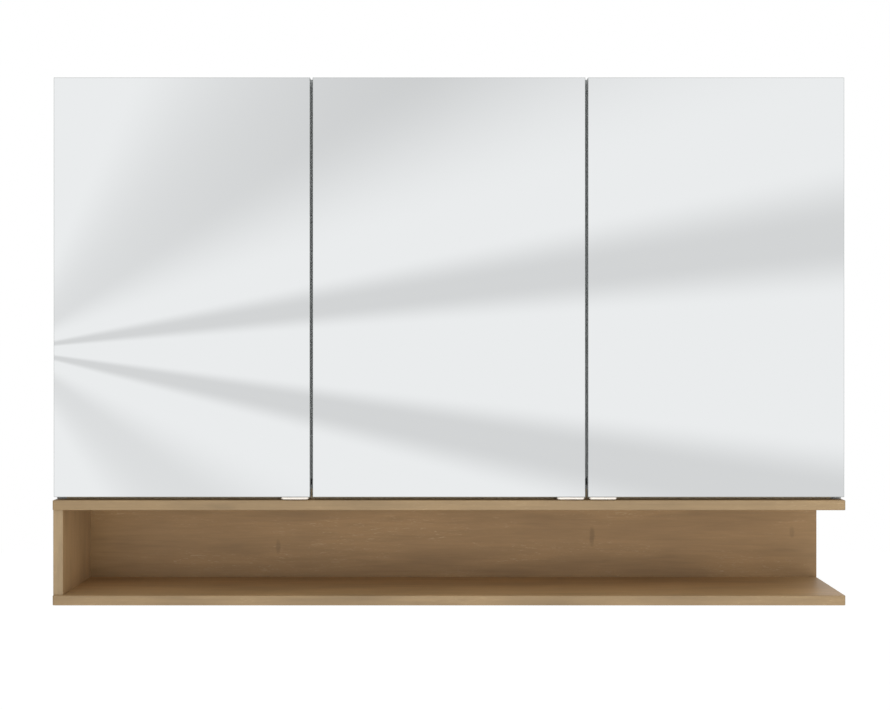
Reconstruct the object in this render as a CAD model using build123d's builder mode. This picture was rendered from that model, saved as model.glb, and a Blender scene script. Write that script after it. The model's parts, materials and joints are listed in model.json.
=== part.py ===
from build123d import *
from collections import namedtuple
import os

# Mirror cabinet: three frameless mirror doors over an open shelf niche, hung on a wall.
# Millimetres. X runs to the right, Y towards the wall and Z up.
# The origin is the middle of the underside, halfway between the front and the wall.

# Whole cabinet
width = 1200
height = 800
depth = 200
board = 15

# Open niche: its right end has no upright
niche_clear = 129
board_overhang = 9
upright_setback = 5
edge_round = 1.2
corner_round = 3

# Doors: a core board with a glass mirror glued on, hung in front of the carcass
door_gap = 4
middle_door_width = 414
core_thick = 14
mirror_thick = 3
seam = 2.5
mirror_round = 0.6

# Finger pulls under the doors
pull_width = 41
pull_thick = 3
pull_reach = 7
pull_tail = 15
pull_inset = 2
pull_round = 4
pull_bevel = 1

# Rear panel in its groove, glass shelves and their pins
rear_thick = 3
rear_inset = 10
groove_depth = 5
groove_play = 0.3
glass_thick = 5
shelf_play = 1
shelf_setback = 30
shelf_heights = (378, 582)
glass_bevel = 0.6
pin_radius = 2.5
pin_sunk = 6.5
pin_length = 15
pin_from_edge = 22

# Wall hangers: steel corner plates let into the rear edges
hanger_size = 66
hanger_thick = 2
hanger_cut = 34
hanger_hole_radius = 4.5
hanger_hole_inset = 25

# Screws
drill_play = 0.05
drill_spare = 0.5
screw_radius = 1.75
head_radius = 3.5
head_height = 1.6
head_taper = 20
countersink_taper = 45
hanger_screw_length = 20

# Door buffers on the partitions' front edges. The left one stands clear of the middle door's
# hinge edge, which swings in towards the partition.
buffer_width = 7
buffer_length = 10
buffer_round = 2
buffer_thick = 2.2
buffer_taper = 8
buffer_height = 11
buffer_shift = 3.7

# Concealed cup hinges. Plan positions are (s, d): s from the door's hinge edge towards its
# free edge, d from the carcass front towards the wall.
hinge_from_end = 95
bore_radius = 17.5
bore_from_edge = 3
bore_depth = 11.5
cup_play = 0.1
cup_wall = 1.1
cup_floor = 1
flange_thick = 1
flange_rim = 2
wing_screw_pitch = 48
wing_screw_offset = 6
wing_radius = 5
arm_inner_pivot = (28.4, -10)
arm_outer_pivot = (39, 3.75)
cup_inner_pivot = (11, -9.4)
cup_outer_pivot = (10.1, -4.5)
arm_elbow = (31, -1)
link_pin_radius = 1.25
running_play = 0.05
inner_link_half = 3.4
lug_levels = (3.6, 4.8)
arm_levels = (3.7, 4.7)
outer_link_levels = (5.2, 6.4)
cheek_levels = (6.7, 7.9)
inner_link_width = 3
inner_link_eye = 2.2
inner_link_bow = (19.5, -11)
outer_link_width = 3.2
outer_link_eye = 1.9
outer_link_bow = (20.5, -4.1)
outer_link_arm_eye = 2.8
arm_nose = 2.6
lug_half = 2.4
lug_top = -7.2
cheek_start = 5.2
cheek_end = 13.4
cheek_foot = 29
cheek_top = -2.1
slot_end = (10.5, -6.5)
slot_radius = 1.75
arm_rear = 58
arm_front = 14
arm_top = 14
arm_side = 9.5
arm_web = 1.2
plate_thick = 2
plate_front = 26
plate_rear = 60
plate_half = 6
plate_screw_depth = 37
plate_screw_pitch = 32
plate_screw_length = 12
spine_half = 3.4
arm_screw_depth = 50
arm_screw_length = 9
cup_screw_length = 11
cup_head_height = 1.2

# Places that follow from the sizes above
left = -width / 2
right = width / 2
front = -depth / 2
wall = depth / 2
mirror_face = front + board_overhang
core_face = mirror_face + mirror_thick
door_back = core_face + core_thick
carcass_front = door_back + seam
niche_ceiling = board + niche_clear
carcass_base = niche_ceiling + board
carcass_floor = carcass_base + board
carcass_ceiling = height - board
door_bottom = carcass_base + door_gap
partition_x = (middle_door_width + door_gap) / 2
outer_door_width = (width - middle_door_width - 2 * door_gap) / 2
rear_face = wall - rear_inset - rear_thick
shelf_front = carcass_front + shelf_setback
shelf_back = rear_face - shelf_play
niche_back_face = wall - board
bore_centre = bore_from_edge + bore_radius

# A door's edge is where its hinges are, side is +1 where it opens from right to left, and
# panel is how far the board that carries the hinges reaches behind the door.
Door = namedtuple("Door", "name edge side width panel")
doors = (
    Door("left", left, 1, outer_door_width, board),
    Door("middle", -middle_door_width / 2, 1, middle_door_width, (board - door_gap) / 2),
    Door("right", right, -1, outer_door_width, board),
)
hinge_heights = (door_bottom + hinge_from_end, height - hinge_from_end)

os.makedirs("parts", exist_ok=True)


def save(piece, name):
    piece.part.label = name
    export_step(piece.part, f"parts/{name}.step")


def span(low_x, high_x, low_y, high_y, mode=Mode.ADD):
    """A rectangle between two corners of the open sketch."""
    with Locations(((low_x + high_x) / 2, (low_y + high_y) / 2)):
        Rectangle(high_x - low_x, high_y - low_y, mode=mode)


def disc(place, radius, mode=Mode.ADD):
    """A circle at one place of the open sketch."""
    with Locations(place):
        Circle(radius, mode=mode)


def circles(planes, radius):
    """One circle on each plane."""
    with BuildSketch(*planes) as profile:
        Circle(radius)
    return profile.sketch


def drill(planes, radius, reach):
    """Round holes that start at the planes, cut out of the open part."""
    extrude(circles(planes, radius), amount=reach, mode=Mode.SUBTRACT)


def rods(planes, radius, reach):
    """Round bars that start at the planes, added to the open part."""
    extrude(circles(planes, radius), amount=reach)


def pan_screws(planes, shank, length, head, rise):
    """Screws whose heads sit on the planes, with the shanks against the planes' normals."""
    rods(planes, shank, -length)
    extrude(circles(planes, head), amount=rise, taper=head_taper)


def flat_screws(planes, shank, length, head, rise):
    """Countersunk screws whose heads end flush with the planes."""
    rods(planes, shank, -length)
    extrude(circles(planes, head), amount=-rise, taper=countersink_taper)


def countersinks(planes, shank, length, head, rise):
    """The clearance holes of countersunk screws, cut out of the open part."""
    drill(planes, shank + drill_play, -length)
    cones = circles(planes, head + drill_play)
    extrude(cones, amount=-rise, taper=countersink_taper, mode=Mode.SUBTRACT)


def facing(x, y, z, direction):
    """A plane at a point, with its normal along a direction."""
    return Plane(origin=(x, y, z), z_dir=direction)


# Shelf pins: each plane lies on a wall's face with its normal pointing into the compartment
walls = (
    (left + board, 1),
    (-partition_x - board / 2, -1),
    (-partition_x + board / 2, 1),
    (partition_x - board / 2, -1),
    (partition_x + board / 2, 1),
    (right - board, -1),
)
pin_depths = (shelf_front + pin_from_edge, shelf_back - pin_from_edge)


def pin_planes(wall_x, way):
    return [
        facing(wall_x, y, z - pin_radius, (way, 0, 0)) for y in pin_depths for z in shelf_heights
    ]


def drill_pins(wall_x, way):
    drill(pin_planes(wall_x, way), pin_radius + drill_play, -(pin_sunk + drill_spare))


# Hinge places. One plane per hinge lies level through its middle, with X along the door.
def hinge_planes(door):
    return [
        Plane(
            origin=(door.edge, carcass_front, z),
            x_dir=(door.side, 0, 0),
            z_dir=(0, 0, door.side),
        )
        for z in hinge_heights
    ]


def leaf_planes(door, levels):
    """The planes from which a pair of leaves rises, one on each side of the hinge's middle."""
    near, far = levels
    return [plane.offset(start) for plane in hinge_planes(door) for start in (near, -far)]


def cup_planes(door, s=0, height_step=0):
    """Planes on the door's back, with their normals into the door."""
    return [
        Plane(
            origin=(door.edge + door.side * (bore_centre + s), door_back, z + height_step),
            x_dir=(door.side, 0, 0),
            z_dir=(0, -1, 0),
        )
        for z in hinge_heights
    ]


def wing_planes(door):
    return [
        plane
        for step in (-wing_screw_pitch / 2, wing_screw_pitch / 2)
        for plane in cup_planes(door, wing_screw_offset, step)
    ]


def panel_planes(door, d, height_steps, lift=0):
    """Planes on the face of the board that carries a door, with normals into the cabinet."""
    x = door.edge + door.side * (door.panel + lift)
    return [
        facing(x, carcass_front + d, z + step, (door.side, 0, 0))
        for z in hinge_heights
        for step in height_steps
    ]


plate_steps = (-plate_screw_pitch / 2, plate_screw_pitch / 2)


def drill_plate_screws(door):
    drill(
        panel_planes(door, plate_screw_depth, plate_steps),
        screw_radius + drill_play,
        -plate_screw_length,
    )


# Niche: two boards with softened front corners and front edges, an upright and a back panel
for name, level in (("niche_bottom_board", 0), ("niche_top_board", niche_ceiling)):
    with BuildPart() as niche_board:
        with BuildSketch(Plane.XY.offset(level)):
            span(left, right, front, wall)
        extrude(amount=board)
        fillet(niche_board.edges().filter_by(Axis.Z).group_by(Axis.Y)[0], corner_round)
        fillet(niche_board.faces().sort_by(Axis.Y)[0].edges().filter_by(Axis.X), edge_round)
    save(niche_board, name)

with BuildPart() as niche_upright:
    with BuildSketch(Plane.XY.offset(board)):
        span(left, left + board, front + upright_setback, wall)
    extrude(amount=niche_clear)
    fillet(niche_upright.edges().filter_by(Axis.Z).group_by(Axis.Y)[0], edge_round)
save(niche_upright, "niche_upright")

with BuildPart() as niche_back_panel:
    with BuildSketch(Plane.XY.offset(board)):
        span(left + board, right, niche_back_face, wall)
    extrude(amount=niche_clear)
save(niche_back_panel, "niche_back_panel")


# Carcass
def cut_groove():
    """The groove that holds the rear panel, cut out of the open part."""
    sunk = groove_depth + groove_play
    with BuildSketch(Plane.XZ.offset(-(rear_face - groove_play))) as groove:
        span(left + board - sunk, right - board + sunk, carcass_floor - sunk, carcass_ceiling + sunk)
    extrude(groove.sketch, amount=-(rear_thick + 2 * groove_play), mode=Mode.SUBTRACT)


def hanger_outline(side):
    """A corner plate of the wall hangers, drawn in the open sketch on the rear plane."""
    outer = side * width / 2
    inner = outer - side * hanger_size
    base = height - hanger_size
    Polygon(
        (outer, height),
        (inner, height),
        (inner, base + hanger_cut),
        (inner + side * hanger_cut, base),
        (outer, base),
        align=None,
    )


def cut_hanger_seats():
    """Recesses for the hanger plates in the rear edges, cut out of the open part."""
    for side in (-1, 1):
        with BuildSketch(Plane.XZ.offset(-wall)) as seat:
            hanger_outline(side)
        extrude(seat.sketch, amount=hanger_thick, mode=Mode.SUBTRACT)


# Screws of the hanger plates, driven from behind into the boards' rear edges
hanger_screw_places = [
    facing(side * x, wall, z, (0, 1, 0))
    for side in (-1, 1)
    for x, z in (
        (width / 2 - board / 2, height - hanger_size + board / 2),
        (width / 2 - board / 2, height - 2 * board),
        (width / 2 - hanger_size + board / 2, height - board / 2),
    )
]


def drill_hanger_screws():
    drill(hanger_screw_places, screw_radius + drill_play, -hanger_screw_length)


for side, name in ((-1, "left_side_panel"), (1, "right_side_panel")):
    inner_x, outer_x = sorted((side * width / 2, side * (width / 2 - board)))
    with BuildPart() as side_panel:
        with BuildSketch(Plane.XY.offset(carcass_base)):
            span(inner_x, outer_x, carcass_front, wall)
        extrude(amount=height - carcass_base)
        cut_groove()
        cut_hanger_seats()
        drill_hanger_screws()
        drill_pins(side * (width / 2 - board), -side)
        drill_plate_screws(doors[0] if side < 0 else doors[2])
    save(side_panel, name)

with BuildPart() as top_panel:
    with BuildSketch(Plane.XY.offset(carcass_ceiling)):
        span(left + board, right - board, carcass_front, wall)
    extrude(amount=board)
    cut_groove()
    cut_hanger_seats()
    drill_hanger_screws()
save(top_panel, "top_panel")

with BuildPart() as bottom_panel:
    with BuildSketch(Plane.XY.offset(carcass_base)):
        span(left + board, right - board, carcass_front, wall)
    extrude(amount=board)
    cut_groove()
save(bottom_panel, "bottom_panel")

for side, name in ((-1, "left_partition"), (1, "right_partition")):
    face_x = side * partition_x
    with BuildPart() as partition:
        with BuildSketch(Plane.XY.offset(carcass_floor)):
            span(face_x - board / 2, face_x + board / 2, carcass_front, rear_face - groove_play)
        extrude(amount=carcass_ceiling - carcass_floor)
        drill_pins(face_x - board / 2, -1)
        drill_pins(face_x + board / 2, 1)
        if side < 0:
            drill_plate_screws(doors[1])
    save(partition, name)

with BuildPart() as rear_panel:
    with BuildSketch(Plane.XZ.offset(-rear_face)):
        span(
            left + board - groove_depth,
            right - board + groove_depth,
            carcass_floor - groove_depth,
            carcass_ceiling + groove_depth,
        )
        for low_x, high_x in ((left, left + hanger_size), (right - hanger_size, right)):
            span(low_x, high_x, height - hanger_size, height, Mode.SUBTRACT)
    extrude(amount=-rear_thick)
save(rear_panel, "rear_panel")

with BuildPart() as hanger_plates:
    hole_x = width / 2 - board - hanger_hole_inset
    hole_z = height - board - hanger_hole_inset
    for side in (-1, 1):
        with BuildSketch(Plane.XZ.offset(-wall)):
            hanger_outline(side)
            disc((side * hole_x, hole_z), hanger_hole_radius, Mode.SUBTRACT)
        extrude(amount=hanger_thick)
    countersinks(hanger_screw_places, screw_radius, hanger_thick, head_radius, head_height)
save(hanger_plates, "hanger_plates")

with BuildPart() as hanger_screws:
    flat_screws(hanger_screw_places, screw_radius, hanger_screw_length, head_radius, head_height)
save(hanger_screws, "hanger_screws")

# Shelves
compartments = (
    ("left_shelves", left + board, -partition_x - board / 2),
    ("middle_shelves", -partition_x + board / 2, partition_x - board / 2),
    ("right_shelves", partition_x + board / 2, right - board),
)
for name, low_x, high_x in compartments:
    with BuildPart() as shelves:
        with BuildSketch(*[Plane.XY.offset(z) for z in shelf_heights]):
            span(low_x + shelf_play, high_x - shelf_play, shelf_front, shelf_back)
        extrude(amount=glass_thick)
        chamfer(shelves.edges().filter_by(Axis.X).group_by(Axis.Y)[0], glass_bevel)
    save(shelves, name)

with BuildPart() as shelf_pins:
    for wall_x, way in walls:
        starts = [plane.offset(-pin_sunk) for plane in pin_planes(wall_x, way)]
        rods(starts, pin_radius, pin_length)
save(shelf_pins, "shelf_pins")

with BuildPart() as door_buffers:
    buffer_z = carcass_floor + buffer_height
    with BuildSketch(Plane.XZ.offset(-carcass_front)):
        with Locations((-partition_x - buffer_shift, buffer_z), (partition_x, buffer_z)):
            RectangleRounded(buffer_width, buffer_length, buffer_round)
    extrude(amount=buffer_thick, taper=buffer_taper)
save(door_buffers, "door_buffers")


# Doors
def door_span(door, s_low, s_high):
    """The X range between two distances from the door's hinge edge."""
    return sorted((door.edge + door.side * s_low, door.edge + door.side * s_high))


for door in doors:
    low_x, high_x = door_span(door, 0, door.width)

    with BuildPart() as door_core:
        with BuildSketch(Plane.XY.offset(door_bottom)):
            span(low_x, high_x, core_face, door_back)
        extrude(amount=height - door_bottom)
        drill(cup_planes(door), bore_radius, bore_depth)
        drill(wing_planes(door), screw_radius + drill_play, cup_screw_length)
    save(door_core, f"{door.name}_door_core")

    with BuildPart() as mirror:
        with BuildSketch(Plane.XY.offset(door_bottom)):
            span(low_x, high_x, mirror_face, core_face)
        extrude(amount=height - door_bottom)
        chamfer(mirror.faces().sort_by(Axis.Y)[0].edges(), mirror_round)
    save(mirror, f"{door.name}_mirror")

    with BuildPart() as pull:
        with BuildSketch(Plane.XY.offset(door_bottom - pull_thick)):
            pull_low, pull_high = door_span(
                door, door.width - pull_inset - pull_width, door.width - pull_inset
            )
            span(pull_low, pull_high, mirror_face - pull_reach, mirror_face + pull_tail)
        extrude(amount=pull_thick)
        fillet(pull.edges().filter_by(Axis.Z).group_by(Axis.Y)[0], pull_round)
        grip_end = mirror_face - pull_reach + pull_round
        lower_edges = pull.edges().group_by(Axis.Z)[0]
        chamfer(lower_edges.filter_by(lambda edge: edge.center().Y < grip_end), pull_bevel)
    save(pull, f"{door.name}_pull")

    # The cup: a pressed bowl with wings, lugs for the inner link's pin and slotted cheeks
    with BuildPart() as cups:
        cup_radius = bore_radius - cup_play
        wings = [plane.offset(-flange_thick) for plane in cup_planes(door)]
        with BuildSketch(*wings):
            Circle(cup_radius + flange_rim)
            disc((wing_screw_offset, -wing_screw_pitch / 2), wing_radius)
            disc((wing_screw_offset, wing_screw_pitch / 2), wing_radius)
            make_hull()
        extrude(amount=flange_thick)
        rods(cup_planes(door), cup_radius, bore_depth - cup_play)
        drill(wings, cup_radius - cup_wall, flange_thick + bore_depth - cup_play - cup_floor)
        wing_faces = [plane.offset(-flange_thick) for plane in wing_planes(door)]
        drill(wing_faces, screw_radius + drill_play, flange_thick)
        bowl_floor = -seam - bore_depth + cup_play
        lug_middle = cup_inner_pivot[0]
        with BuildSketch(*leaf_planes(door, lug_levels)):
            span(lug_middle - lug_half, lug_middle + lug_half, bowl_floor, lug_top)
            disc(cup_inner_pivot, link_pin_radius + running_play, Mode.SUBTRACT)
        extrude(amount=lug_levels[1] - lug_levels[0])
        with BuildSketch(*leaf_planes(door, cheek_levels)):
            span(cheek_start, cheek_end, bowl_floor, cheek_top)
            span(cheek_end, cheek_foot, bowl_floor, lug_top)
        extrude(amount=cheek_levels[1] - cheek_levels[0])
        with BuildSketch(*leaf_planes(door, cheek_levels)):
            disc(cup_outer_pivot, slot_radius)
            disc(slot_end, slot_radius)
            make_hull()
        extrude(amount=cheek_levels[1] - cheek_levels[0], mode=Mode.SUBTRACT)
    save(cups, f"{door.name}_hinge_cups")

    with BuildPart() as cup_pins:
        with BuildSketch(*[plane.offset(-lug_levels[1]) for plane in hinge_planes(door)]):
            disc(cup_inner_pivot, link_pin_radius)
        extrude(amount=2 * lug_levels[1])
    save(cup_pins, f"{door.name}_cup_pins")

    with BuildPart() as door_screws:
        seats = [-plane.offset(-flange_thick) for plane in wing_planes(door)]
        pan_screws(seats, screw_radius, cup_screw_length, head_radius, cup_head_height)
    save(door_screws, f"{door.name}_door_screws")

    with BuildPart() as inner_links:
        with BuildSketch(*[plane.offset(-inner_link_half) for plane in hinge_planes(door)]):
            with BuildLine():
                ThreePointArc(cup_inner_pivot, inner_link_bow, arm_inner_pivot)
            trace(line_width=inner_link_width)
            disc(cup_inner_pivot, inner_link_eye)
            disc(arm_inner_pivot, inner_link_eye)
            disc(cup_inner_pivot, link_pin_radius + running_play, Mode.SUBTRACT)
            disc(arm_inner_pivot, link_pin_radius + running_play, Mode.SUBTRACT)
        extrude(amount=2 * inner_link_half)
    save(inner_links, f"{door.name}_inner_links")

    with BuildPart() as outer_links:
        with BuildSketch(*leaf_planes(door, outer_link_levels)):
            with BuildLine():
                ThreePointArc(cup_outer_pivot, outer_link_bow, arm_outer_pivot)
            trace(line_width=outer_link_width)
            disc(cup_outer_pivot, outer_link_eye)
            disc(arm_outer_pivot, outer_link_arm_eye)
            disc(arm_outer_pivot, link_pin_radius + running_play, Mode.SUBTRACT)
        extrude(amount=outer_link_levels[1] - outer_link_levels[0])
        stub_levels = (outer_link_levels[0], cheek_levels[1])
        with BuildSketch(*leaf_planes(door, stub_levels)):
            disc(cup_outer_pivot, link_pin_radius)
        extrude(amount=stub_levels[1] - stub_levels[0])
    save(outer_links, f"{door.name}_outer_links")

    # The arm: two leaves from the nose to the rear, joined by a web over the plate's spine
    with BuildPart() as arms:
        rear_high = door.panel + arm_top
        rear_low = rear_high - arm_side
        neck = (rear_high - arm_side / 2, arm_front)
        bones = (
            ((arm_inner_pivot, arm_nose), (arm_elbow, arm_nose)),
            ((arm_elbow, arm_nose), (arm_outer_pivot, outer_link_arm_eye)),
            ((arm_elbow, arm_nose), (arm_outer_pivot, outer_link_arm_eye), (neck, arm_side / 2)),
        )
        for bone in bones:
            with BuildSketch(*leaf_planes(door, arm_levels)):
                for place, radius in bone:
                    disc(place, radius)
                make_hull()
            extrude(amount=arm_levels[1] - arm_levels[0])
        with BuildSketch(*leaf_planes(door, arm_levels)):
            span(rear_low, rear_high, arm_front, arm_rear)
        extrude(amount=arm_levels[1] - arm_levels[0])
        with BuildSketch(*[plane.offset(-arm_levels[1]) for plane in hinge_planes(door)]):
            span(rear_high - arm_web, rear_high, arm_front, arm_rear)
        extrude(amount=2 * arm_levels[1])
        with BuildSketch(*leaf_planes(door, arm_levels)):
            disc(arm_inner_pivot, link_pin_radius + running_play)
            disc(arm_outer_pivot, link_pin_radius + running_play)
        extrude(amount=arm_levels[1] - arm_levels[0], mode=Mode.SUBTRACT)
        screw_seats = panel_planes(door, arm_screw_depth, (0,), arm_top)
        drill(screw_seats, screw_radius + drill_play, -arm_web)
    save(arms, f"{door.name}_hinge_arms")

with BuildPart() as arm_pins:
    for door in doors:
        with BuildSketch(*[plane.offset(-arm_levels[1]) for plane in hinge_planes(door)]):
            disc(arm_inner_pivot, link_pin_radius)
        extrude(amount=2 * arm_levels[1])
        with BuildSketch(*[plane.offset(-outer_link_levels[1]) for plane in hinge_planes(door)]):
            disc(arm_outer_pivot, link_pin_radius)
        extrude(amount=2 * outer_link_levels[1])
save(arm_pins, "arm_pins")

# Mounting plates: a flat foot with two ears for screws and a spine that carries the arm
with BuildPart() as mounting_plates:
    for door in doors:
        foot_planes = [
            Plane(origin=plane.origin, x_dir=(0, 1, 0), z_dir=(door.side, 0, 0))
            for plane in panel_planes(door, 0, (0,))
        ]
        with BuildSketch(*foot_planes):
            span(plate_front, plate_rear, -plate_half, plate_half)
            for step in plate_steps:
                disc((plate_screw_depth, step), plate_half)
            span(plate_screw_depth - plate_half, plate_screw_depth + plate_half, *plate_steps)
        extrude(amount=plate_thick)
        with BuildSketch(*foot_planes):
            span(plate_front, plate_rear, -spine_half, spine_half)
        extrude(amount=arm_top - arm_web)
        feet = panel_planes(door, plate_screw_depth, plate_steps, plate_thick)
        drill(feet, screw_radius + drill_play, -plate_thick)
        spines = panel_planes(door, arm_screw_depth, (0,), arm_top - arm_web)
        drill(spines, screw_radius + drill_play, arm_web - arm_screw_length - drill_spare)
save(mounting_plates, "mounting_plates")

with BuildPart() as plate_screws:
    for door in doors:
        feet = panel_planes(door, plate_screw_depth, plate_steps, plate_thick)
        length = plate_screw_length + plate_thick
        pan_screws(feet, screw_radius, length, head_radius, head_height)
        webs = panel_planes(door, arm_screw_depth, (0,), arm_top)
        pan_screws(webs, screw_radius, arm_screw_length, head_radius, head_height)
save(plate_screws, "plate_screws")
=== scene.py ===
import bpy
import json
import math
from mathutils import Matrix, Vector


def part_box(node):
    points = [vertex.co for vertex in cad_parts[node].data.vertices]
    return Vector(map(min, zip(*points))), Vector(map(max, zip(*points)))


# Mirror cabinet with three mirror doors over an open oak niche. Metres, in the model's frame.
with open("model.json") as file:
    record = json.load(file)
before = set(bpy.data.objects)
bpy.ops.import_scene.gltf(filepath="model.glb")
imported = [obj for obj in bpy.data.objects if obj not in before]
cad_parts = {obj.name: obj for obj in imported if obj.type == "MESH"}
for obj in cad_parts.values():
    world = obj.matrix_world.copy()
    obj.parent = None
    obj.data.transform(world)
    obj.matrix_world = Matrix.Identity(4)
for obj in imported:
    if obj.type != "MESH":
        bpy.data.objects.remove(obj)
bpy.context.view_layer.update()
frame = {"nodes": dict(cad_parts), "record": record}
nodes = frame["nodes"]

# Camera: square to the cabinet's front and level with its middle. The eye pixel is the one that
# it looks straight at.
IMAGE_WIDTH = 890
IMAGE_HEIGHT = 710
CAMERA_PLACE = Vector((0, -2.415, 0.4))
CAMERA_LENS = 61.93
SENSOR_WIDTH = 36
EYE_PIXEL = (449, 341)

# Stage: the cabinet hangs above the floor, as on a wall. The floor's own colour takes the shadow,
# and its glow lifts it to white where it is seen. Diffuse rays meet a plain pale floor.
FLOOR_DROP = 0.9
FLOOR_SIZE = 14
FLOOR_TONES = (0.30, 0.312)
FLOOR_GLOW = 0.82
FLOOR_BOUNCE = 0.8

# Card behind the camera, whose soft grey beams show only in reflections. It turns white between
# the two distances from its beams' source and from its own middle height.
CARD_Y = -4.0
CARD_SIZE = (7.2, 4.6)
CARD_FADE_ALONG = (3.9, 4.9)
CARD_FADE_UP = (1.5, 2.2)

# The beams fan out from one source. A beam is a stretch of the slope (rise over run) seen from
# there: it darkens from the first slope to the second and clears from the third to the fourth.
# Depth is how much it takes off the white, and near is the share of that depth at the source,
# from where it grows to the whole at the beams' reach, and to the most allowed beyond it.
BEAM_SOURCE_PIXEL = (11, 349.5)
BEAM_REACH_PIXELS = 359
BEAM_MOST = 1.08
SHORTEST_RUN = 0.01
BEAMS = (
    (0.062, 0.124, 0.150, 0.228, 0.215, 1),
    (-0.285, -0.205, -0.168, -0.107, 0.215, 1),
    (0.31, 0.71, 0.72, 2.25, 0.245, 0.48),
    (-1.75, -0.84, -0.78, -0.42, 0.135, 1),
)

# Light: an even world and three soft lamps, each with its place, target, size and watts
WORLD_LEVEL = 0.62
LAMPS = {
    "front_lamp": ((0.3, -3.0, -0.30), (0, 0, 0.25), (3.0, 1.6), 56),
    "top_lamp": ((-0.6, -1.6, 2.2), (0, 0, 0.4), (2.2, 1.4), 8),
    "side_lamp": ((1.7, -0.9, 0.1), (0.5, 0.08, 0.08), (0.7, 0.5), 2),
}


def tone(red, green, blue):
    """A colour given as it shows on screen, 0 to 255, as the linear colour that shaders take."""
    def linear(value):
        value /= 255
        return value / 12.92 if value <= 0.04045 else ((value + 0.055) / 1.055) ** 2.4
    return (linear(red), linear(green), linear(blue), 1)


def grey(level):
    """A linear grey."""
    return (level, level, level, 1)


WHITE = grey(1)

# Oak decor: each board has its own tone, painted darker on the back panel as shade and lighter on
# the bottom board and upright as light; front edges carry a greyer band
OAK_FACE = tone(144, 113, 73)
OAK_BACK_PAINTED_SHADE = tone(140, 110, 71)
OAK_FLOOR_PAINTED_LIGHT = tone(187, 154, 110)
OAK_WALL_PAINTED_LIGHT = tone(177, 146, 106)
OAK_BAND = tone(144, 120, 86)
OAK_PALE_BAND = tone(149, 127, 95)
OAK_PORE = tone(104, 76, 46)
OAK_FLECK = tone(196, 172, 134)
OAK_GLOSS = 0.45

# Layers of the decor: a feature's length along the grain and its width across it, and the layer's
# own shift through the noise
PATCH_GRAIN = (0.22, 0.055, 0)
FIGURE_GRAIN = (0.13, 0.0085, 3)
STREAK_GRAIN = (0.055, 0.0019, 7)
PORE_GRAIN = (0.010, 0.0006, 11)
FLECK_GRAIN = (0.016, 0.0024, 17)

# How far each layer swings the colour, as a share of it
PATCH_SWING = 0.74
FIGURE_SWING = 0.44
STREAK_SWING = 0.16

# Pores and flecks: the levels of the noise between which they grow, and how much they cover.
# Flecks come only where the patches are pale.
PORE_STEP = (0.60, 0.76)
PORE_COVER = 0.18
FLECK_STEP = (0.55, 0.70)
FLECK_PATCH_STEP = (0.44, 0.60)
FLECK_COVER = 0.34
STREAK_RELIEF = -0.4

# Upright cracks in the back panel's decor: middle x and z, half width, half height and depth
CRACKS = (
    (-0.279, 0.064, 0.0046, 0.015, 0.20),
    (0.2335, 0.080, 0.0052, 0.020, 0.25),
    (0.560, 0.088, 0.0052, 0.012, 0.16),
)
CRACK_WOBBLE = 0.004
CRACK_CORE = 0.1

# A face counts as an edge band, or as the front, where its normal's Y is below the value
OAK_FRONT = -0.35
FRONT_EDGES = -0.5
ALL_BUT_BACK = 0.5
MIRROR_FRONT = -0.95

# White melamine boards with a fine pearl texture, and their edge bands: the grey band is painted
# shade for the gaps between the doors, and the brown band is painted shade tinted by the oak
# below the doors
BOARD_LOW = tone(226, 226, 222)
BOARD_HIGH = tone(234, 234, 231)
BAND_GAP_SHADE = tone(174, 177, 177)
BAND_PALE = tone(210, 212, 212)
BAND_UNDER_DOOR_SHADE = tone(196, 178, 146)

# Silvered glass: a mirror in front, grey-green polished glass on the edges
MIRROR_TINT = tone(234, 236, 237)
EDGE_TINT = tone(136, 142, 139)
EDGE_ROUGHNESS = 0.12
EDGE_GLOSS = 0.5

# Clear glass of the shelves: green in the edges, nearly clear through the faces
GLASS_EDGE = tone(176, 208, 192)
GLASS_FACE = tone(238, 246, 242)
GLASS_IOR = 1.5

# Satin lacquer of the finger pulls, rubber of the buffers, and the dull film on plated metal
CREAM_LOW = tone(236, 228, 217)
CREAM_HIGH = tone(242, 235, 226)
RUBBER_LOW = tone(24, 24, 25)
RUBBER_HIGH = tone(38, 38, 39)
RUBBER_ROUGHNESS = 0.62
METAL_FILM = tone(120, 118, 114)
METAL_FILM_COVER = 0.25

# Metals: colour, least and most roughness, and how many fine marks there are in a metre
METALS = {
    "nickel": (tone(205, 203, 198), 0.16, 0.30, 220),
    "screw_steel": (tone(198, 200, 202), 0.22, 0.40, 500),
    "zinc_steel": (tone(190, 193, 196), 0.30, 0.48, 90),
}


# Node helpers
def add(tree, kind, inputs=None, **settings):
    """Adds a node. Inputs are values or the outputs of other nodes."""
    node = tree.nodes.new(kind)
    for name, value in settings.items():
        setattr(node, name, value)
    for socket, value in (inputs or {}).items():
        if isinstance(value, bpy.types.NodeSocket):
            tree.links.new(value, node.inputs[socket])
        else:
            node.inputs[socket].default_value = value
    return node


def calc(tree, operation, *values):
    return add(tree, "ShaderNodeMath", dict(enumerate(values)), operation=operation).outputs[0]


def lifted(tree, start, value, reach):
    """The start plus the value times the reach."""
    return calc(tree, "ADD", start, calc(tree, "MULTIPLY", value, reach))


def smooth(tree, value, low, high, start=0, end=1):
    """A soft step from start to end while value goes from low to high."""
    inputs = {"Value": value, "From Min": low, "From Max": high, "To Min": start, "To Max": end}
    return add(tree, "ShaderNodeMapRange", inputs, interpolation_type="SMOOTHSTEP").outputs[0]


def mixed(tree, factor, first, second):
    """Two colours mixed by a factor."""
    inputs = {0: factor, 6: first, 7: second}
    return add(tree, "ShaderNodeMix", inputs, data_type="RGBA").outputs[2]


def scaled(tree, vector, scale, shift=(0, 0, 0)):
    inputs = {"Vector": vector, "Scale": scale, "Location": shift}
    return add(tree, "ShaderNodeMapping", inputs).outputs[0]


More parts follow.
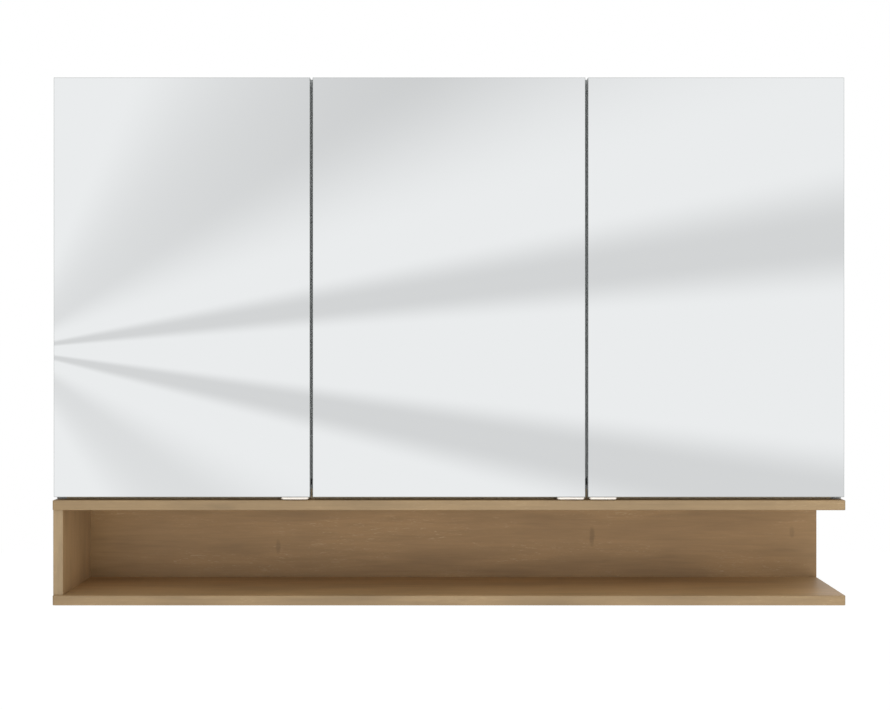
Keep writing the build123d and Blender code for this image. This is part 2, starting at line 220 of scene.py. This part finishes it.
def noise(tree, vector, scale=1, detail=2, roughness=0.5, distortion=0):
    inputs = {
        "Vector": vector,
        "Scale": scale,
        "Detail": detail,
        "Roughness": roughness,
        "Distortion": distortion,
    }
    return add(tree, "ShaderNodeTexNoise", inputs).outputs[0]


def axes(tree, vector):
    """The outputs X, Y and Z of a vector."""
    return add(tree, "ShaderNodeSeparateXYZ", {0: vector}).outputs


def object_place(tree):
    return add(tree, "ShaderNodeTexCoord").outputs["Object"]


def object_normal(tree):
    """The outputs X, Y and Z of the face's normal, in the object's own frame."""
    return axes(tree, add(tree, "ShaderNodeTexCoord").outputs["Normal"])


def bump(tree, height, strength, distance):
    inputs = {"Height": height, "Strength": strength, "Distance": distance}
    return add(tree, "ShaderNodeBump", inputs).outputs[0]


def principled(tree, colour, roughness, others=None):
    """A Principled shader with its colour, its roughness and any other inputs."""
    inputs = {"Base Color": colour, "Roughness": roughness, **(others or {})}
    return add(tree, "ShaderNodeBsdfPrincipled", inputs)


def glow(tree, colour, strength):
    return add(tree, "ShaderNodeEmission", {"Color": colour, "Strength": strength})


def new_material(name):
    material = bpy.data.materials.new(name)
    material.use_nodes = True
    material.node_tree.nodes.clear()
    return material, material.node_tree


def finished(material, shader):
    """The material with the shader at its output."""
    add(material.node_tree, "ShaderNodeOutputMaterial", {"Surface": shader.outputs[0]})
    return material


# Materials
def cracks(tree, place):
    """How dark the upright cracks are at a place of the back panel."""
    wobble = calc(tree, "MULTIPLY", noise(tree, place, scale=70, detail=3), CRACK_WOBBLE)
    middle = CRACK_WOBBLE / 2
    at = axes(tree, place)
    total = 0.0
    for x, z, half_width, half_height, depth in CRACKS:
        aside = calc(tree, "ADD", calc(tree, "SUBTRACT", at["X"], x + middle), wobble)
        across = calc(tree, "DIVIDE", aside, half_width)
        above = calc(tree, "DIVIDE", calc(tree, "SUBTRACT", at["Z"], z), half_height)
        squares = [calc(tree, "MULTIPLY", value, value) for value in (across, above)]
        away = calc(tree, "ADD", *squares)
        total = calc(tree, "ADD", total, smooth(tree, away, CRACK_CORE, 1, depth, 0))
    return total


def oak(name, along, shift, face_tone, band_tone=OAK_BAND, cracked=False):
    """Oak decor with its grain along an axis. A cracked board has cracks and no band in front."""
    material, tree = new_material(name)
    place = object_place(tree)

    def grain(length, across, move):
        scale = [1 / across] * 3
        scale[along] = 1 / length
        return scaled(tree, place, scale, [part + move for part in shift])

    def swing(value, reach):
        """The value about its middle, as a share of the colour."""
        return calc(tree, "MULTIPLY", calc(tree, "SUBTRACT", value, 0.5), reach)

    patch = noise(tree, grain(*PATCH_GRAIN), detail=3, roughness=0.55)
    figure = noise(tree, grain(*FIGURE_GRAIN), detail=4, roughness=0.6, distortion=0.8)
    streak = noise(tree, grain(*STREAK_GRAIN), detail=3, roughness=0.6, distortion=0.3)
    pores = noise(tree, grain(*PORE_GRAIN), detail=2, roughness=0.7)
    flecks = noise(tree, grain(*FLECK_GRAIN), detail=4, roughness=0.72, distortion=1.2)

    level = calc(tree, "ADD", 1, swing(patch, PATCH_SWING))
    level = calc(tree, "ADD", level, swing(figure, FIGURE_SWING))
    level = calc(tree, "ADD", level, swing(streak, STREAK_SWING))
    in_front = calc(tree, "LESS_THAN", object_normal(tree)["Y"], OAK_FRONT)
    if cracked:
        shade = calc(tree, "MULTIPLY", cracks(tree, place), in_front)
        level = calc(tree, "SUBTRACT", level, shade)
    base = mixed(tree, 0 if cracked else in_front, face_tone, band_tone)
    toned = {0: base, "Scale": level}
    body = add(tree, "ShaderNodeVectorMath", toned, operation="SCALE").outputs[0]

    pits = smooth(tree, pores, *PORE_STEP)
    body = mixed(tree, calc(tree, "MULTIPLY", pits, PORE_COVER), body, OAK_PORE)
    pale = smooth(tree, patch, *FLECK_PATCH_STEP)
    specks = calc(tree, "MULTIPLY", smooth(tree, flecks, *FLECK_STEP), pale)
    body = mixed(tree, calc(tree, "MULTIPLY", specks, FLECK_COVER), body, OAK_FLECK)

    height = calc(tree, "SUBTRACT", calc(tree, "MULTIPLY", streak, STREAK_RELIEF), pits)
    relief = bump(tree, height, strength=0.2, distance=0.0002)
    others = {"Specular IOR Level": OAK_GLOSS, "Normal": relief}
    return finished(material, principled(tree, body, lifted(tree, 0.40, streak, 0.14), others))


def white_board(name, banded_below, band_tone=BAND_GAP_SHADE):
    """The board. Faces whose normal's Y is below a value are edge bands, grey with painted shade
    unless another tone is given.
    """
    material, tree = new_material(name)
    place = object_place(tree)
    peel = noise(tree, place, scale=900)
    cloud = noise(tree, place, scale=6, detail=3)
    band = calc(tree, "LESS_THAN", object_normal(tree)["Y"], banded_below)
    colour = mixed(tree, band, mixed(tree, cloud, BOARD_LOW, BOARD_HIGH), band_tone)
    others = {"Normal": bump(tree, peel, strength=0.12, distance=0.0002)}
    return finished(material, principled(tree, colour, lifted(tree, 0.42, peel, 0.16), others))


def mirror_glass():
    material, tree = new_material("mirror_glass")
    face = calc(tree, "LESS_THAN", object_normal(tree)["Y"], MIRROR_FRONT)
    film = noise(tree, object_place(tree), scale=14, detail=3)
    film_roughness = smooth(tree, film, 0.35, 0.8, 0.004, 0.016)
    silver = principled(tree, MIRROR_TINT, film_roughness, {"Metallic": 1})
    edge = principled(tree, EDGE_TINT, EDGE_ROUGHNESS, {"Specular IOR Level": EDGE_GLOSS})
    both = {0: face, 1: edge.outputs[0], 2: silver.outputs[0]}
    return finished(material, add(tree, "ShaderNodeMixShader", both))


def cream_lacquer():
    material, tree = new_material("cream_lacquer")
    place = object_place(tree)
    peel = noise(tree, place, scale=420)
    colour = mixed(tree, noise(tree, place, scale=25), CREAM_LOW, CREAM_HIGH)
    others = {"Normal": bump(tree, peel, strength=0.08, distance=0.0002)}
    return finished(material, principled(tree, colour, lifted(tree, 0.30, peel, 0.12), others))


def metal(name, colour, least_rough, most_rough, marks_in_metre):
    """Plated or brushed metal: fine marks across its gloss."""
    material, tree = new_material(name)
    place = object_place(tree)
    marks = noise(tree, scaled(tree, place, [marks_in_metre] * 3), detail=4, roughness=0.7)
    film = calc(tree, "MULTIPLY", noise(tree, place, scale=60), METAL_FILM_COVER)
    shade = mixed(tree, film, colour, METAL_FILM)
    roughness = smooth(tree, marks, 0.3, 0.7, least_rough, most_rough)
    others = {"Metallic": 1, "Normal": bump(tree, marks, strength=0.06, distance=0.0001)}
    return finished(material, principled(tree, shade, roughness, others))


def shelf_glass():
    material, tree = new_material("shelf_glass")
    level = calc(tree, "ABSOLUTE", object_normal(tree)["Z"])
    film = noise(tree, object_place(tree), scale=12, detail=3)
    colour = mixed(tree, level, GLASS_EDGE, GLASS_FACE)
    roughness = smooth(tree, film, 0.3, 0.8, 0.01, 0.04)
    others = {"IOR": GLASS_IOR, "Transmission Weight": 1}
    return finished(material, principled(tree, colour, roughness, others))


def rubber():
    material, tree = new_material("buffer_rubber")
    grit = noise(tree, object_place(tree), scale=1600)
    colour = mixed(tree, grit, RUBBER_LOW, RUBBER_HIGH)
    others = {"Normal": bump(tree, grit, strength=0.2, distance=0.0001)}
    return finished(material, principled(tree, colour, RUBBER_ROUGHNESS, others))


# The carcass boards' front edges are painted grey as shade in the door gaps
slot_materials = {
    "white_board": white_board("white_board", FRONT_EDGES),
    "mirror_glass": mirror_glass(),
    "cream_lacquer": cream_lacquer(),
    "shelf_glass": shelf_glass(),
    "buffer_rubber": rubber(),
}
for name, look in METALS.items():
    slot_materials[name] = metal(name, *look)

# Nodes with a look of their own. Each oak board is cut from its own stretch of the decor, and a
# door core shows its bands on every edge.
ALONG_X = 0
ALONG_Z = 2
node_materials = {
    # The bottom board and the upright take painted light in their tones, the back panel painted
    # shade
    "niche_bottom_board": oak("oak_bottom", ALONG_X, (0.0, 0.0, 0.0), OAK_FLOOR_PAINTED_LIGHT),
    "niche_top_board": oak("oak_top", ALONG_X, (1.7, 4.1, 2.3), OAK_FACE),
    "niche_back_panel": oak("oak_back", ALONG_X, (5.2, 1.3, 6.6), OAK_BACK_PAINTED_SHADE, cracked=True),
    "niche_upright": oak("oak_upright", ALONG_Z, (8.4, 2.9, 0.7), OAK_WALL_PAINTED_LIGHT, OAK_PALE_BAND),
    # The lowest board's band is painted brown as shade under the doors
    "bottom_panel": white_board("lowest_board", FRONT_EDGES, BAND_UNDER_DOOR_SHADE),
}
door_board = white_board("door_board", ALL_BUT_BACK, BAND_PALE)
for door in ("left", "middle", "right"):
    node_materials[door + "_door_core"] = door_board

for subpart in frame["record"]["subparts"]:
    node = subpart["node"]
    own = node_materials.get(node)
    slots = nodes[node].data.materials
    slots.clear()
    slots.append(own or slot_materials[subpart["material_slot"]])


# Stage
def plane(name, width, height):
    """An upright rectangle round the origin, facing the cabinet, as a new mesh object."""
    mesh = bpy.data.meshes.new(name)
    signs = ((-1, -1), (1, -1), (1, 1), (-1, 1))
    corners = [(along * width / 2, 0, up * height / 2) for along, up in signs]
    mesh.from_pydata(corners, [], [(0, 1, 2, 3)])
    thing = bpy.data.objects.new(name, mesh)
    bpy.context.scene.collection.objects.link(thing)
    return thing


def seen_directly(tree):
    """1 for rays from the camera, from glossy and from clear surfaces, and 0 for the rest."""
    path = add(tree, "ShaderNodeLightPath").outputs
    seen = calc(tree, "MAXIMUM", path["Is Camera Ray"], path["Is Glossy Ray"])
    return calc(tree, "MAXIMUM", seen, path["Is Transmission Ray"])


def make_floor():
    floor = plane("floor", FLOOR_SIZE, FLOOR_SIZE)
    floor.rotation_euler = (math.radians(90), 0, 0)
    floor.location = (0, 0, -FLOOR_DROP)
    material, tree = new_material("floor")
    grain = noise(tree, object_place(tree), scale=3)
    pale = mixed(tree, grain, *(grey(level) for level in FLOOR_TONES))
    matt = add(tree, "ShaderNodeBsdfDiffuse", {"Color": pale})
    full = add(tree, "ShaderNodeBsdfDiffuse", {"Color": grey(FLOOR_BOUNCE)})
    lit = glow(tree, WHITE, FLOOR_GLOW)
    shown = add(tree, "ShaderNodeAddShader", {0: matt.outputs[0], 1: lit.outputs[0]})
    both = {0: seen_directly(tree), 1: full.outputs[0], 2: shown.outputs[0]}
    floor.data.materials.append(finished(material, add(tree, "ShaderNodeMixShader", both)))


def beam_shade(tree, slope, reach, beam):
    """How much a beam takes off the white at a slope and a share of the beams' reach."""
    first, dark, light, last, depth, near = beam
    darkened = smooth(tree, slope, first, dark)
    shade = calc(tree, "MULTIPLY", darkened, smooth(tree, slope, light, last, 1, 0))
    growth = calc(tree, "MINIMUM", lifted(tree, near, reach, 1 - near), BEAM_MOST)
    return calc(tree, "MULTIPLY", shade, calc(tree, "MULTIPLY", depth, growth))


def make_card():
    card = plane("reflection_card", *CARD_SIZE)
    card.location = (0, CARD_Y, CAMERA_PLACE.z)
    material, tree = new_material("reflection_card")

    # A pixel of the photo in metres on the mirrors, and then on the card that they reflect
    mirror_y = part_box("middle_mirror")[0].y
    to_mirror = mirror_y - CAMERA_PLACE.y
    mirror_pixel = SENSOR_WIDTH / CAMERA_LENS * to_mirror / IMAGE_WIDTH
    card_pixel = (to_mirror + mirror_y - CARD_Y) / to_mirror * mirror_pixel

    source_x = (BEAM_SOURCE_PIXEL[0] - EYE_PIXEL[0]) * card_pixel
    source_z = (EYE_PIXEL[1] - BEAM_SOURCE_PIXEL[1]) * card_pixel
    place = axes(tree, object_place(tree))
    run = calc(tree, "SUBTRACT", place["X"], source_x)
    rise = calc(tree, "SUBTRACT", place["Z"], source_z)
    slope = calc(tree, "DIVIDE", rise, calc(tree, "MAXIMUM", run, SHORTEST_RUN))
    reach = calc(tree, "DIVIDE", run, BEAM_REACH_PIXELS * card_pixel)
    white = 1.0
    for beam in BEAMS:
        white = calc(tree, "SUBTRACT", white, beam_shade(tree, slope, reach, beam))

    along = smooth(tree, run, *CARD_FADE_ALONG, 1, 0)
    up = smooth(tree, calc(tree, "ABSOLUTE", place["Z"]), *CARD_FADE_UP, 1, 0)
    level = mixed(tree, calc(tree, "MULTIPLY", along, up), WHITE, white)
    card.data.materials.append(finished(material, glow(tree, level, 1)))
    card.visible_camera = False
    card.visible_diffuse = False
    card.visible_transmission = False
    card.visible_shadow = False


# Light
def make_world():
    """Rays that light the object meet the world's level, and rays that show it meet white."""
    world = bpy.data.worlds.new("studio")
    world.use_nodes = True
    tree = world.node_tree
    tree.nodes.clear()
    soft, white = (
        add(tree, "ShaderNodeBackground", {"Color": WHITE, "Strength": strength}).outputs[0]
        for strength in (WORLD_LEVEL, 1)
    )
    mix = add(tree, "ShaderNodeMixShader", {0: seen_directly(tree), 1: soft, 2: white})
    add(tree, "ShaderNodeOutputWorld", {"Surface": mix.outputs[0]})
    bpy.context.scene.world = world


def soft_lamp(name, place, target, size, power):
    """A rectangular lamp that no reflection, clear surface or camera shows."""
    data = bpy.data.lights.new(name, "AREA")
    data.shape = "RECTANGLE"
    data.size, data.size_y = size
    data.energy = power
    lamp = bpy.data.objects.new(name, data)
    bpy.context.scene.collection.objects.link(lamp)
    lamp.location = place
    lamp.rotation_euler = (Vector(target) - Vector(place)).to_track_quat("-Z", "Y").to_euler()
    lamp.visible_glossy = False
    lamp.visible_camera = False
    lamp.visible_transmission = False


def make_camera():
    data = bpy.data.cameras.new("camera")
    data.sensor_width = SENSOR_WIDTH
    data.lens = CAMERA_LENS
    data.shift_x = (IMAGE_WIDTH / 2 - EYE_PIXEL[0]) / IMAGE_WIDTH
    data.shift_y = (EYE_PIXEL[1] - IMAGE_HEIGHT / 2) / IMAGE_WIDTH
    camera = bpy.data.objects.new("camera", data)
    bpy.context.scene.collection.objects.link(camera)
    camera.location = CAMERA_PLACE
    camera.rotation_euler = (math.radians(90), 0, 0)
    bpy.context.scene.camera = camera


make_floor()
make_card()
make_world()
for name, settings in LAMPS.items():
    soft_lamp(name, *settings)
make_camera()
bpy.context.scene.view_settings.view_transform = "Standard"
